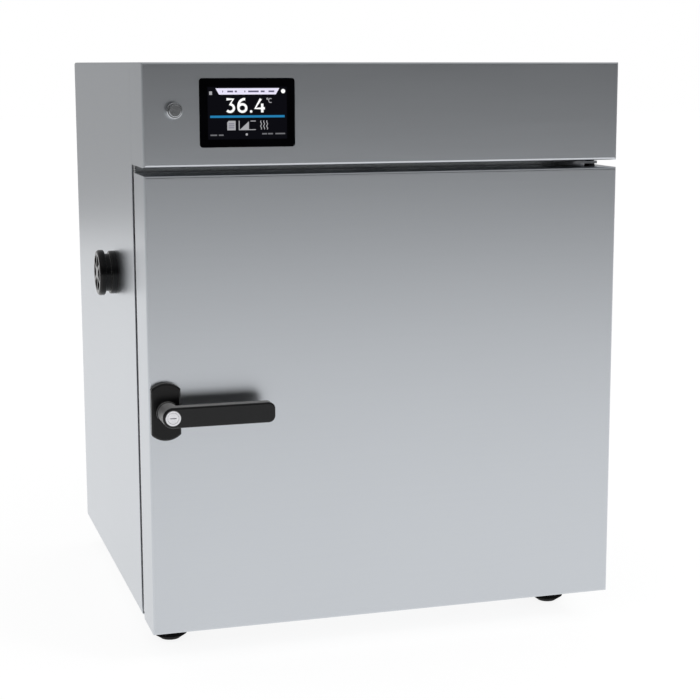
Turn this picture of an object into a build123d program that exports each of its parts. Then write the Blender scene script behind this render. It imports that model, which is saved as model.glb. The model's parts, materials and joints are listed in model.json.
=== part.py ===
"""Bench-top laboratory incubator: brushed steel cabinet, hinged door, lever latch and control head.

Millimetres. X runs to the right, Y to the back, Z up. The origin lies on the floor, under the
middle of the whole object's box.
"""

import os

from build123d import *

os.makedirs("parts", exist_ok=True)

# Cabinet
housing_width = 590.0
body_height = 674.0
housing_depth = 490.0
front_depth = 82.0  # door and control head stand this far in front of the housing
sheet = 1.2
fold = 3.0  # outside radius of a folded sheet edge
seam = 0.3  # gap where two covers or loose pieces meet
lip = 15.0  # inward lip that a cover is screwed to
frame_rim = 10.0
base_rim = 10.0
screw_room = 9.0  # free space in front of the rear panel for the screw ends
tray_rim = 12.0  # folded rim of the compartment's floor
window_corner = 5.0
window_border = 6.0  # from a lip to the opening behind the control head
window_side_border = 22.0
panel_inset = 2.0  # door's inner panel inside the skin's outline
rear_screw_inset = 40.0
rear_screw_rows = 4
head_screw_rise = 25.0
air_slots = 9
air_slot_pitch = 15.0
air_slot_length = 56.0
air_slot_width = 5.0
air_slots_left = 60.0  # middle of the slots, left of the cabinet's middle
air_slots_drop = 62.0  # middle of the slots, below the top

# Chamber
chamber_side = 95.0  # from a side of the housing to the chamber
chamber_roof = 88.0  # from the chamber's ceiling to the compartment's floor
chamber_wall = 130.0  # from the chamber's rear to the housing's rear
chamber_radius = 12.0
chamber_floor = 78.0  # above the housing's bottom
liner_sheet = 1.0
liner_lip = 14.0
divider_rise = 1.0  # floor of the electrical compartment above the control head's lower edge

# Feet
foot_height = 40.0
foot_radius = 19.0
foot_tip_radius = 11.0
foot_taper = 8.0
foot_inset_side = 38.5
foot_inset_end = 23.0

# Control head
head_gap = 9.0  # between the door's top and the control head
display_width = 112.4
display_height = 78.6
display_left = 65.9  # from the cabinet's left side
display_rise = 22.5  # above the head's lower edge
display_drop = 17.9  # below the head's top
display_radius = 3.5
glass_proud = 0.6
button_radius = 9.3
button_inset = 36.0
button_rise = 64.8  # above the head's lower edge
collar_reach = 7.5
collar_barrel = 20.0
barrel_hole_radius = 6.5
button_reach = 9.8
button_travel = 2.0
cap_margin = 2.2  # collar's rim around the moving cap
cap_skirt = 4.0
cap_stem_radius = 3.0
switch_width = 15.0
switch_depth = 16.0
stud_radius = 1.5
stud_length = 8.0
bracket_border = 11.0
bracket_plate = 2.0
module_border = 6.0  # display module inside the glass outline

# Door
door_thickness = 67.0
plug_depth = 20.0  # raised middle of the inner panel, which enters the chamber's mouth
plug_clearance = 12.0
plug_fold = 8.0
gasket_width = 24.0
gasket_bulb = 12.0
gasket_base = 5.0

# Hinge
hinge_inset = 22.0  # axis from the cabinet's right side
hinge_back = 32.0  # axis behind the door's front
pin_radius = 3.5
pin_fit = 0.05
bush_wall = 2.0
bush_length = 20.0
bush_flange_radius = 7.0
top_bush_flange = 3.0
bottom_bush_flange = 2.0
bracket_sheet = 3.0
bracket_width = 36.0
bracket_leg = 32.0
bracket_nose = 9.0  # plate left around the pin
top_bracket_gap = 3.5
hinge_screw_inset = 10.0  # from a bracket leg's end
hinge_block_size = 34.0
pin_head_border = 2.0
pin_head_height = 1.6
pin_short = 3.0  # pin ends this far before its bush
backing_height = 20.0

# Handle and latch
handle_inset = 20.3  # axis from the cabinet's left side
handle_drop = 0.6  # below the door's middle
plate_width = 34.6
plate_height = 68.0
plate_offset = -1.3  # plate's middle, to the left of the axis
plate_thickness = 9.5
plate_arch = 7.0
hub_radius = 12.0
hub_reach = 45.0  # lever's front face before the door's front
lever_length = 120.6  # from the axis to the free end
lever_height = 24.0
lever_thickness = 14.0
lever_corner = 8.0
lever_edge = 2.0
hub_flare = 1.0
hub_flare_length = 3.0
barrel_radius = 9.0
barrel_length = 14.0
barrel_proud = 0.6
lock_plug_radius = 6.6
spindle_radius = 6.0
spindle_end_radius = 5.0
tongue_gap = 6.5  # from the door's back face to the tongue
tongue_thickness = 3.0
tongue_length = 30.0
tongue_width = 12.0
keeper_sheet = 2.0
keeper_start = 14.0  # from the handle axis to the keeper's near edge
keeper_width = 20.0
keeper_clearance = 1.5  # between tongue and keeper lip
keeper_height = 44.0
keeper_lip = 26.0
keeper_foot = 10.0  # keeper's screwed part, beyond its lip
keeper_screw_inset = 10.0
spindle_bush_wall = 2.0
front_bush_length = 16.0
rear_bush_length = 12.0
rear_bush_flange = 2.0
spindle_nut_height = 3.5
spindle_seat = 15.0  # depth of the lever's bore for the spindle
handle_screw_inset = 13.0
handle_screw_cover = 3.0  # plate left in front of a screw's hole
key_slot_length = 7.5
key_slot_width = 1.4
key_slot_depth = 7.0

# Access port
port_back = 152.5  # behind the housing's front
port_drop = 59.0  # below the chamber's ceiling
port_radius = 16.0
port_wall = 1.0
port_flange_radius = 27.5
port_flange_reach = 8.0
port_spigot_radius = 20.0
port_spigot_length = 12.0
plug_neck_radius = 24.0
plug_neck_length = 6.0
plug_cap_radius = 29.0
plug_cap_length = 9.0
plug_shank_length = 60.0
plug_ribs = 6
plug_rib_width = 4.0
plug_dish = 3.0

# Heater
heater_radius = 3.25
heater_pitch = 56.0
heater_runs = 6
heater_rear_gap = 35.0  # from the heater's rear bends to the chamber's rear
heater_bend = 24.0
heater_inset = 45.0  # heater's front end behind the housing's front

# Temperature sensor
sensor_right = 120.0  # right of the chamber's middle
sensor_drop = 45.0  # below the chamber's ceiling
sensor_radius = 2.5
sensor_reach = 40.0
sensor_tail = 12.0
gland_radius = 5.0
gland_border = 3.0
gland_head = 4.0
gland_pocket = 6.0  # free space in the wool around the gland

# Racks and shelves
rack_sheet = 1.0
rack_clearance = 20.0  # free height above and below a rack
rack_front_gap = 8.0  # from the chamber's mouth to the rack
ledge_width = 12.0
ledge_first = 35.0  # lowest ledge above the rack's lower edge
ledge_last = 15.0  # highest ledge below the rack's upper edge
ledge_count = 6
ledge_inset = 6.0  # ledge ends before the rack's ends
rack_slots = 3
rack_slot_height = 16.0
rack_slot_border = 35.0  # from a slot to the rack's end
rack_slot_bar = 30.0  # metal between two slots
rack_corner = 6.0
rack_port_gap = 3.0
shelf_setback = 20.0  # shelf's front edge behind the rack's front end
shelf_wire = 2.5  # radius of the shelf's frame wire
shelf_rod = 1.5  # radius of the thin rods
shelf_rods = 17
shelf_corner = 16.0
shelf_side_gap = 2.5
shelf_levels = (1, 4)
shelf_weld = 0.4  # depth that a rod sinks into the wire it is welded to
shelf_bars = 2

# Electrical parts
inlet_side = 95.0  # from the cabinet's right side
inlet_drop = 58.0  # below the top
inlet_width = 28.0
inlet_height = 20.5
inlet_border = 3.5
inlet_flange = 3.0
inlet_back = 3.0
socket_width = 24.0
socket_height = 16.5
socket_depth = 18.0
socket_chamfer = 5.0
blade_length = 12.0
blade_width = 2.0
blade_height = 4.0
blade_side = 7.0
blade_rise = 2.0
board_right = 40.0
board_behind = 130.0
board_width = 170.0
board_depth = 110.0
board_thickness = 1.6
switch_block_width = 32.0
switch_block_depth = 28.0
switch_block_left = 50.0
plug_row_length = 90.0
plug_row_depth = 10.0
plug_row_inset = 8.0
block_height = 12.0
chip_size = 20.0
chip_right = 5.0
chip_behind = 12.0
chip_height = 2.0
capacitor_radius = 6.0
capacitor_height = 18.0
capacitor_pitch = 18.0
capacitors_right = 50.0
capacitors_behind = 20.0
standoff_height = 12.0
standoff_inset = 8.0
standoff_radius = 4.0
supply_left = 170.0
supply_behind = 150.0
supply_width = 98.0
supply_depth = 160.0
supply_height = 38.0
vent_count = 6
vent_pitch = 12.0
vent_length = 100.0
vent_width = 4.0
vent_depth = 2.0
terminal_count = 7
terminal_pitch = 11.0
relay_right = 190.0
relay_behind = 120.0
relay_width = 46.0
relay_depth = 58.0
relay_height = 24.0
sink_length = 100.0
sink_base = 5.0
fin_count = 9
fin_pitch = 9.0
fin_width = 2.0
fin_height = 22.0

# Fasteners, by nominal diameter
small_screw = 4.0
small_screw_length = 8.0
large_screw = 6.0
hinge_screw = 5.0
hinge_screw_length = 12.0
hole_play = 0.3  # added to a hole's diameter
screw_head_share = 0.6  # head height over diameter
hex_share = 0.35  # hexagon socket's radius over diameter
nut_share = 0.95  # nut's radius over diameter
sink_share = 0.95  # countersunk head's radius over diameter

# Main planes and the sizes that follow from them
plug_reach = port_flange_reach + plug_neck_length + plug_cap_length
lever_reach = hub_reach + barrel_proud
overall_width = plug_reach + housing_width
overall_depth = lever_reach + front_depth + housing_depth + inlet_flange
left = plug_reach - overall_width / 2
right = left + housing_width
middle = (left + right) / 2
door_front = lever_reach - overall_depth / 2
door_rear = door_front + door_thickness
housing_front = door_front + front_depth
rear = housing_front + housing_depth
bottom = foot_height
top = bottom + body_height
head_height = display_rise + display_height + display_drop
door_height = body_height - head_height - head_gap
door_top = bottom + door_height
door_middle = bottom + door_height / 2
head_bottom = door_top + head_gap
divider = head_bottom + divider_rise
chamber_width = housing_width - 2 * chamber_side
chamber_height = divider - chamber_roof - bottom - chamber_floor
chamber_depth = housing_depth - chamber_wall
chamber_middle = bottom + chamber_floor + chamber_height / 2
chamber_left = middle - chamber_width / 2
chamber_right = middle + chamber_width / 2
rack_height = chamber_height - 2 * rack_clearance
rack_depth = chamber_depth - chamber_radius - rack_front_gap
rack_slot_length = (rack_depth - 2 * rack_slot_border - (rack_slots - 1) * rack_slot_bar) / rack_slots
rack_slot_pitch = rack_slot_length + rack_slot_bar
ledge_pitch = (rack_height - ledge_first - ledge_last) / (ledge_count - 1)
shelf_depth = rack_depth - shelf_setback
heater_length = chamber_depth - heater_inset - heater_rear_gap


def facing_front(y, x=0.0, z=0.0):
    """Plane at depth y whose normal points to the front; its own X and Y are X and Z."""
    return Plane(origin=(x, y, z), x_dir=(1, 0, 0), z_dir=(0, -1, 0))


def facing_back(y, x=0.0, z=0.0):
    """Plane at depth y whose normal points to the back; its own X is X and its Y points down."""
    return Plane(origin=(x, y, z), x_dir=(1, 0, 0), z_dir=(0, 1, 0))


def facing_left(x, y=0.0, z=0.0):
    """Plane at x whose normal points to the left; its own Y is Z."""
    return Plane(origin=(x, y, z), x_dir=(0, -1, 0), z_dir=(-1, 0, 0))


def facing_up(z, x=0.0, y=0.0):
    """Plane at height z whose normal points up."""
    return Plane(origin=(x, y, z), x_dir=(1, 0, 0), z_dir=(0, 0, 1))


def facing_down(z, x=0.0, y=0.0):
    """Plane at height z whose normal points down; its own X is X and its Y points forward."""
    return Plane(origin=(x, y, z), x_dir=(1, 0, 0), z_dir=(0, 0, -1))


def rounded_block(face, width, height, depth, radius, corner=0.0):
    """Block behind a plane, centred on it, with the edges of its front face rounded."""
    outward = Axis(face.origin, face.z_dir)
    with BuildPart() as block:
        with BuildSketch(face):
            if corner:
                RectangleRounded(width, height, corner)
            else:
                Rectangle(width, height)
        extrude(amount=-depth)
        fillet(block.faces().sort_by(outward)[-1].edges(), radius)
    return block.part


def pan(face, width, height, depth, thickness=sheet, radius=fold, corner=0.0):
    """Sheet pan whose outer face lies on the plane and whose rims fold back behind it."""
    inner_corner = corner - thickness if corner else 0.0
    with BuildPart() as made:
        add(rounded_block(face, width, height, depth, radius, corner))
        add(
            rounded_block(
                face.offset(-thickness),
                width - 2 * thickness,
                height - 2 * thickness,
                depth,
                radius - thickness,
                inner_corner,
            ),
            mode=Mode.SUBTRACT,
        )
    return made.part


def pan_screw(diameter, length):
    """Pan-head screw along Z: the head stands on the XY plane and the shank goes below it."""
    head_height = screw_head_share * diameter
    with BuildPart() as screw:
        Cylinder(diameter, head_height, align=(Align.CENTER, Align.CENTER, Align.MIN))
        chamfer(screw.edges().group_by(Axis.Z)[-1], 0.3 * head_height)
        Cylinder(diameter / 2, length, align=(Align.CENTER, Align.CENTER, Align.MAX))
        with BuildSketch(Plane.XY.offset(head_height)):
            RegularPolygon(hex_share * diameter, 6)
        extrude(amount=-0.5 * head_height, mode=Mode.SUBTRACT)
    return screw.part


def flat_screw(diameter, length):
    """Countersunk screw along Z with its flat head level with the XY plane."""
    with BuildPart() as screw:
        Cylinder(diameter / 2, length, align=(Align.CENTER, Align.CENTER, Align.MAX))
        Cone(
            diameter / 2,
            sink_share * diameter,
            (sink_share - 0.5) * diameter,
            align=(Align.CENTER, Align.CENTER, Align.MAX),
        )
        with BuildSketch(Plane.XY):
            RegularPolygon(hex_share * diameter, 6)
        extrude(amount=-0.3 * diameter, mode=Mode.SUBTRACT)
    return screw.part


def hex_nut(diameter, height):
    """Hexagon nut standing on the XY plane."""
    with BuildPart() as nut:
        with BuildSketch():
            RegularPolygon(nut_share * diameter, 6)
            Circle(diameter / 2 + pin_fit, mode=Mode.SUBTRACT)
        extrude(amount=height)
    return nut.part


def finish(builder, name):
    """Label a finished piece and write it to its own file."""
    builder.part.label = name
    export_step(builder.part, f"parts/{name}.step")


# Places that several pieces share
foot_places = [
    (x, y)
    for y in (housing_front + foot_inset_end, rear - foot_inset_end)
    for x in (left + foot_inset_side, right - foot_inset_side)
]
head_screw_places = [
    (x, z)
    for x in (left + lip / 2 + sheet, right - lip / 2 - sheet)
    for z in (head_bottom + head_screw_rise, top - head_screw_rise)
]
rear_screw_pitch = (body_height - 2 * rear_screw_inset) / (rear_screw_rows - 1)
rear_screw_places = [
    (x, bottom + rear_screw_inset + row * rear_screw_pitch)
    for x in (left + lip / 2 + sheet, right - lip / 2 - sheet)
    for row in range(rear_screw_rows)
]
hinge_x = right - hinge_inset
hinge_y = door_front + hinge_back
handle_x = left + handle_inset
handle_z = door_middle - handle_drop
port_y = housing_front + port_back
port_z = chamber_middle + chamber_height / 2 - port_drop

# Outer wrap: one sheet folded over both sides and the top, with lips under the base
with BuildPart() as outer_wrap:
    with BuildSketch(facing_front(housing_front + seam)) as section:
        with Locations((middle, (bottom + top) / 2)):
            Rectangle(housing_width, body_height)
        fillet(section.vertices(), fold)
        offset(amount=-sheet, mode=Mode.SUBTRACT)
        with Locations((middle, bottom)):
            Rectangle(housing_width - 2 * lip, 2 * fold, mode=Mode.SUBTRACT)
    extrude(amount=-(housing_depth - seam))
    rear_lip_low = bottom + sheet + base_rim + seam
    with BuildSketch(facing_front(rear - sheet)):
        with Locations((middle, (rear_lip_low + top - sheet) / 2)):
            Rectangle(housing_width - 2 * sheet, top - sheet - rear_lip_low)
        with Locations((middle, (rear_lip_low + top - sheet - lip) / 2)):
            Rectangle(
                housing_width - 2 * sheet - 2 * lip,
                top - sheet - lip - rear_lip_low,
                mode=Mode.SUBTRACT,
            )
    extrude(amount=sheet)
    with Locations(*[facing_back(rear, x, z) for x, z in rear_screw_places]):
        Hole((small_screw + hole_play) / 2, depth=3 * sheet)
    with Locations(facing_left(left, port_y, port_z)):
        Hole(port_spigot_radius + hole_play / 2, depth=2 * sheet)
finish(outer_wrap, "outer_wrap")

# Base: pan resting on the wrap's lips, with holes for the foot screws
base_front = housing_front + frame_rim + seam
base_rear = rear - sheet
base_middle = (base_front + base_rear) / 2
with BuildPart() as base_panel:
    add(
        pan(
            facing_down(bottom + sheet, middle, base_middle),
            housing_width - 2 * sheet,
            base_rear - base_front,
            base_rim,
            corner=fold,
        )
    )
    with Locations(*[facing_up(bottom + 2 * sheet, x, y) for x, y in foot_places]):
        Hole((large_screw + hole_play) / 2, depth=2 * sheet)
finish(base_panel, "base_panel")

# Front frame: plate around the chamber's mouth and behind the control head
frame_width = housing_width - 2 * sheet
frame_height = body_height - 2 * sheet
window_side = lip + window_side_border
window_end = lip + window_border
hinge_leg_x = hinge_x + bracket_nose - bracket_width / 2
top_tongue_low = door_top + top_bracket_gap
bottom_tongue_high = bottom - bottom_bush_flange
leg_top_low = top_tongue_low + bracket_sheet - bracket_leg
leg_bottom_high = bottom_tongue_high - bracket_sheet + bracket_leg
hinge_screw_places = [
    (hinge_leg_x + side * bracket_width / 4, z)
    for z in (leg_top_low + hinge_screw_inset, leg_bottom_high - hinge_screw_inset)
    for side in (-1, 1)
]
keeper_x = handle_x + keeper_start + keeper_width / 2
keeper_lip_front = door_rear + tongue_gap - keeper_clearance - keeper_sheet
keeper_floor = handle_z - tongue_width / 2 - keeper_clearance - keeper_sheet
keeper_screw_x = keeper_x + keeper_width / 2 + 0.6 * keeper_foot
keeper_screw_places = [
    (keeper_screw_x, keeper_floor + rise)
    for rise in (keeper_screw_inset, keeper_height - keeper_screw_inset)
]
with BuildPart() as front_frame:
    add(
        pan(
            facing_front(housing_front, middle, (bottom + top) / 2),
            frame_width,
            frame_height,
            frame_rim,
            corner=fold,
        )
    )
    with BuildSketch(facing_front(housing_front)):
        with Locations((middle, chamber_middle)):
            RectangleRounded(chamber_width, chamber_height, chamber_radius)
        with Locations((middle, (head_bottom + top) / 2)):
            RectangleRounded(
                housing_width - 2 * window_side, top - head_bottom - 2 * window_end, window_corner
            )
    extrude(amount=-2 * sheet, mode=Mode.SUBTRACT)
    with Locations(*[facing_front(housing_front, x, z) for x, z in head_screw_places]):
        Hole((small_screw + hole_play) / 2, depth=2 * sheet)
    with Locations(*[facing_front(housing_front, x, z) for x, z in hinge_screw_places]):
        Hole((hinge_screw + hole_play) / 2, depth=2 * sheet)
    with Locations(*[facing_front(housing_front, x, z) for x, z in keeper_screw_places]):
        Hole((small_screw + hole_play) / 2, depth=2 * sheet)
finish(front_frame, "front_frame")

# Rear panel: flat cover on the wrap's rear lips, with air slots and the inlet's cut-out
inlet_x = right - inlet_side
inlet_z = top - inlet_drop
panel_gap = sheet + seam
with BuildPart() as rear_panel:
    with BuildSketch(facing_front(rear)):
        with Locations((middle, (bottom + sheet + top - panel_gap) / 2)):
            RectangleRounded(
                housing_width - 2 * panel_gap, body_height - sheet - panel_gap, fold
            )
        with Locations((inlet_x, inlet_z)):
            Rectangle(inlet_width + hole_play, inlet_height + hole_play, mode=Mode.SUBTRACT)
        with Locations((middle - air_slots_left, top - air_slots_drop)):
            with GridLocations(air_slot_pitch, 0, air_slots, 1):
                SlotOverall(air_slot_length, air_slot_width, rotation=90, mode=Mode.SUBTRACT)
    extrude(amount=sheet)
    with Locations(*[facing_back(rear, x, z) for x, z in rear_screw_places]):
        Hole((small_screw + hole_play) / 2, depth=2 * sheet)
finish(rear_panel, "rear_panel")

# Compartment floor: tray over the insulation that carries the electrical parts
with BuildPart() as compartment_floor:
    add(
        pan(
            facing_down(divider, middle, (base_front + rear - 2 * sheet) / 2),
            housing_width - 2 * sheet,
            rear - 2 * sheet - base_front,
            tray_rim,
        )
    )
finish(compartment_floor, "compartment_floor")

# Chamber liner: deep-drawn box, open to the front, with a lip behind the front frame
liner_front = housing_front + sheet
liner_rear = housing_front + chamber_depth + liner_sheet
sensor_x = middle + sensor_right
sensor_z = chamber_middle + chamber_height / 2 - sensor_drop
with BuildPart() as chamber_liner:
    add(
        pan(
            facing_back(liner_rear, middle, chamber_middle),
            chamber_width + 2 * liner_sheet,
            chamber_height + 2 * liner_sheet,
            liner_rear - liner_front,
            thickness=liner_sheet,
            radius=chamber_radius,
            corner=chamber_radius + liner_sheet,
        )
    )
    with BuildSketch(facing_front(liner_front)):
        with Locations((middle, chamber_middle)):
            RectangleRounded(
                chamber_width + 2 * liner_lip, chamber_height + 2 * liner_lip, 2 * chamber_radius
            )
            RectangleRounded(chamber_width, chamber_height, chamber_radius, mode=Mode.SUBTRACT)
    extrude(amount=-liner_sheet)
    with Locations(facing_left(chamber_left - liner_sheet, port_y, port_z)):
        Hole(port_radius + port_wall + hole_play / 2, depth=3 * liner_sheet)
    with Locations(facing_back(liner_rear, sensor_x, sensor_z)):
        Hole(gland_radius + hole_play / 2, depth=3 * liner_sheet)
finish(chamber_liner, "chamber_liner")

# Insulation: mineral wool slabs packed between the liner and the outer sheets
wool_front = base_front + fold
wool_rear = rear - screw_room
wool_bottom = bottom + 2 * sheet
wool_left = left + sheet + fold
wool_right = right - sheet - fold
liner_left = chamber_left - liner_sheet
liner_right = chamber_right + liner_sheet
liner_low = bottom + chamber_floor - liner_sheet
liner_high = liner_low + chamber_height + 2 * liner_sheet
heater_space = 2 * heater_radius + 2 * seam
foot_nut_height = 5.0
nut_pocket_radius = 9.0
nut_pocket_depth = foot_nut_height + 5.0


def wool_slab(x_low, x_high, y_low, y_high, z_low, z_high):
    """Rectangular slab of wool between its low and high sides."""
    with BuildPart() as slab:
        with BuildSketch(facing_up(z_low, (x_low + x_high) / 2, (y_low + y_high) / 2)):
            Rectangle(x_high - x_low, y_high - y_low)
        extrude(amount=z_high - z_low)
    return slab.part


with BuildPart() as insulation_sides:
    add(wool_slab(wool_left, liner_left, wool_front, wool_rear, wool_bottom, divider))
    add(wool_slab(liner_right, wool_right, wool_front, wool_rear, wool_bottom, divider))
    with Locations(facing_left(wool_left, port_y, port_z)):
        Hole(port_spigot_radius + seam, depth=liner_left - wool_left)
    with Locations(*[facing_up(wool_bottom, x, y) for x, y in foot_places]):
        Cylinder(nut_pocket_radius, 2 * nut_pocket_depth, mode=Mode.SUBTRACT)
finish(insulation_sides, "insulation_sides")

with BuildPart() as insulation_top:
    add(wool_slab(liner_left, liner_right, wool_front, wool_rear, liner_high, divider))
finish(insulation_top, "insulation_top")

heater_floor = liner_low - heater_space
with BuildPart() as insulation_bottom:
    add(wool_slab(liner_left, liner_right, wool_front, wool_rear, wool_bottom, heater_floor))
finish(insulation_bottom, "insulation_bottom")

with BuildPart() as insulation_rear:
    add(wool_slab(liner_left, liner_right, liner_rear, wool_rear, heater_floor, liner_high))
    with Locations(facing_front(liner_rear, sensor_x, sensor_z)):
        Cylinder(gland_radius + gland_pocket, 4 * sensor_tail, mode=Mode.SUBTRACT)
finish(insulation_rear, "insulation_rear")

# Heating element: sheathed rod bent to and fro between the liner's floor and the wool
heater_z = heater_floor + seam + heater_radius
heater_front = housing_front + heater_inset
heater_start = middle - heater_pitch * (heater_runs - 1) / 2
heater_points = []
for run in range(heater_runs):
    ends = [heater_front + heater_length, heater_front]
    if run % 2:
        ends.reverse()
    heater_points += [(heater_start + run * heater_pitch, y, heater_z) for y in ends]
with BuildPart() as heating_element:
    with BuildLine() as heater_line:
        FilletPolyline(*heater_points, radius=heater_bend)
    with BuildSketch(facing_front(heater_points[0][1], heater_points[0][0], heater_z)):
        Circle(heater_radius)
    sweep(path=heater_line.wires()[0])
finish(heating_element, "heating_element")


# Racks: sheet ladders on the chamber's side walls with folded ledges for the shelves
def rack(side):
    """Rack on the left wall for side 1, on the right wall for side -1."""
    wall = middle - side * chamber_width / 2
    rack_low = chamber_middle - rack_height / 2
    rack_front = liner_rear - liner_sheet - chamber_radius - rack_depth
    with BuildPart() as made:
        with BuildSketch(Plane.YZ.offset(wall)):
            with Locations((rack_front + rack_depth / 2, chamber_middle)):
                RectangleRounded(rack_depth, rack_height, rack_corner)
            for level in range(ledge_count - 1):
                slot_z = rack_low + ledge_first + (level + 0.5) * ledge_pitch
                with Locations((rack_front + rack_depth / 2, slot_z)):
                    with GridLocations(rack_slot_pitch, 0, rack_slots, 1):
                        SlotOverall(rack_slot_length, rack_slot_height, mode=Mode.SUBTRACT)
            if side > 0:
                with Locations((port_y, port_z)):
                    Circle(port_radius + port_wall + rack_port_gap, mode=Mode.SUBTRACT)
        extrude(amount=side * rack_sheet)
        for level in range(ledge_count):
            ledge_z = rack_low + ledge_first + level * ledge_pitch
            with BuildSketch(facing_up(ledge_z - rack_sheet)):
                with Locations((wall + side * (rack_sheet + ledge_width) / 2,
                                rack_front + rack_depth / 2)):
                    Rectangle(rack_sheet + ledge_width, rack_depth - 2 * ledge_inset)
            extrude(amount=rack_sheet)
    return made


finish(rack(1), "rack_left")
finish(rack(-1), "rack_right")


# Wire shelves: a bent frame wire, two cross bars and thin rods welded on top
def wire_shelf(level):
    """Shelf lying on the ledges of one level, against the chamber's back."""
    ledge_z = chamber_middle - rack_height / 2 + ledge_first + level * ledge_pitch
    wire_z = ledge_z + seam + shelf_wire
    half_width = chamber_width / 2 - rack_sheet - shelf_side_gap - shelf_wire
    back = liner_rear - liner_sheet - chamber_radius - shelf_wire
    front = back - shelf_depth + 2 * shelf_wire
    with BuildPart() as shelf:
        with BuildLine() as loop:
            FilletPolyline(
                (middle - half_width, front, wire_z),
                (middle + half_width, front, wire_z),
                (middle + half_width, back, wire_z),
                (middle - half_width, back, wire_z),
                radius=shelf_corner,
                close=True,
            )
        with BuildSketch(Plane(origin=loop.line @ 0, z_dir=loop.line % 0)):
            Circle(shelf_wire)
        sweep(path=loop.wires()[0])
        for bar in range(1, shelf_bars + 1):
            with BuildSketch(Plane.YZ.offset(middle - half_width)):
                with Locations((front + bar * (back - front) / (shelf_bars + 1), wire_z)):
                    Circle(shelf_wire)
            extrude(amount=2 * half_width)
        rod_z = wire_z + shelf_wire + shelf_rod - shelf_weld
        rod_pitch = 2 * (half_width - shelf_corner) / (shelf_rods - 1)
        with BuildSketch(facing_front(front - shelf_wire)):
            with Locations((middle, rod_z)):
                with GridLocations(rod_pitch, 0, shelf_rods, 1):
                    Circle(shelf_rod)
        extrude(amount=-(back - front + 2 * shelf_wire))
    return shelf


for shelf_name, shelf_level in zip(("shelf_lower", "shelf_upper"), shelf_levels):
    finish(wire_shelf(shelf_level), shelf_name)

# Temperature sensor: thin probe through a gland in the chamber's back wall
with BuildPart() as sensor_gland:
    with BuildSketch(facing_back(liner_rear, sensor_x, sensor_z)):
        Circle(gland_radius + gland_border)
    extrude(amount=gland_head)
    with BuildSketch(facing_front(liner_rear, sensor_x, sensor_z)):
        Circle(gland_radius)
    extrude(amount=liner_sheet + gland_border)
    with Locations(facing_back(liner_rear + gland_head, sensor_x, sensor_z)):
        Hole(sensor_radius + pin_fit)
finish(sensor_gland, "sensor_gland")

with BuildPart() as temperature_sensor:
    with BuildSketch(facing_front(liner_rear + sensor_tail, sensor_x, sensor_z)):
        Circle(sensor_radius)
    extrude(amount=sensor_tail + sensor_reach)
    fillet(temperature_sensor.edges().sort_by(Axis.Y)[0], 0.8 * sensor_radius)
finish(temperature_sensor, "temperature_sensor")

# Access port: outer flange, lining tube and removable plug on the left wall
with BuildPart() as port_flange:
    with BuildSketch(facing_left(left, port_y, port_z)):
        Circle(port_flange_radius)
    extrude(amount=port_flange_reach)
    fillet(port_flange.edges().group_by(Axis.X)[0], 2.0)
    with BuildSketch(facing_left(left, port_y, port_z)):
        Circle(port_spigot_radius)
    extrude(amount=-port_spigot_length)
    tube_seat = port_flange_reach / 2
    with Locations(facing_left(left - port_flange_reach, port_y, port_z)):
        Hole(port_radius)
    with BuildSketch(facing_left(left + port_spigot_length, port_y, port_z)):
        Circle(port_radius + port_wall + hole_play / 2)
    extrude(amount=port_spigot_length + tube_seat, mode=Mode.SUBTRACT)
finish(port_flange, "port_flange")

with BuildPart() as port_tube:
    with BuildSketch(facing_left(left - tube_seat, port_y, port_z)):
        Circle(port_radius + port_wall)
        Circle(port_radius, mode=Mode.SUBTRACT)
    extrude(amount=-(chamber_left + rack_sheet + 1.0 - left + tube_seat))
finish(port_tube, "port_tube")

with BuildPart() as port_plug:
    neck_face = left - port_flange_reach
    with BuildSketch(facing_left(neck_face, port_y, port_z)):
        Circle(plug_neck_radius)
    extrude(amount=plug_neck_length)
    with BuildSketch(facing_left(neck_face - plug_neck_length, port_y, port_z)):
        Circle(plug_cap_radius)
    extrude(amount=plug_cap_length)
    fillet(port_plug.edges().filter_by(GeomType.CIRCLE).sort_by(Axis.X)[0], 3.5)
    fillet(
        port_plug.edges().filter_by(lambda edge: edge.length > 6 * plug_cap_radius).sort_by(Axis.X)[-1],
        2.0,
    )
    with BuildSketch(facing_left(neck_face, port_y, port_z)):
        Circle(port_radius - seam)
    extrude(amount=-plug_shank_length)
    chamfer(port_plug.edges().sort_by(Axis.X)[-1], 2.0)
    with BuildSketch(facing_left(left - plug_reach, port_y, port_z)):
        Circle(0.78 * plug_cap_radius)
        Circle(0.3 * plug_cap_radius, mode=Mode.SUBTRACT)
        with PolarLocations(0, plug_ribs):
            Rectangle(plug_rib_width, 2 * plug_cap_radius, align=(Align.CENTER, Align.MIN), mode=Mode.SUBTRACT)
    extrude(amount=-plug_dish, mode=Mode.SUBTRACT)
finish(port_plug, "port_plug")

# Feet: rubber, tapered to the floor, each held by a screw and a nut
foot_bore_radius = 8.0
foot_bore_depth = 22.0
foot_screw_length = foot_height + 2 * sheet + foot_nut_height + 2.0 - foot_bore_depth
with BuildPart() as foot:
    with BuildSketch(Plane.XZ):
        Polygon(
            (0, 0),
            (foot_tip_radius, 0),
            (foot_radius, foot_taper),
            (foot_radius, foot_height + sheet),
            (0, foot_height + sheet),
            align=None,
        )
    revolve(axis=Axis.Z)
    with Locations(facing_down(0.0)):
        CounterBoreHole((large_screw + hole_play) / 2, foot_bore_radius, foot_bore_depth)

with BuildPart() as rubber_feet:
    with Locations(*[(x, y, 0) for x, y in foot_places]):
        add(foot.part)
finish(rubber_feet, "rubber_feet")

with BuildPart() as foot_screws:
    with Locations(*[facing_down(foot_bore_depth, x, y) for x, y in foot_places]):
        add(pan_screw(large_screw, foot_screw_length))
finish(foot_screws, "foot_screws")

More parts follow.
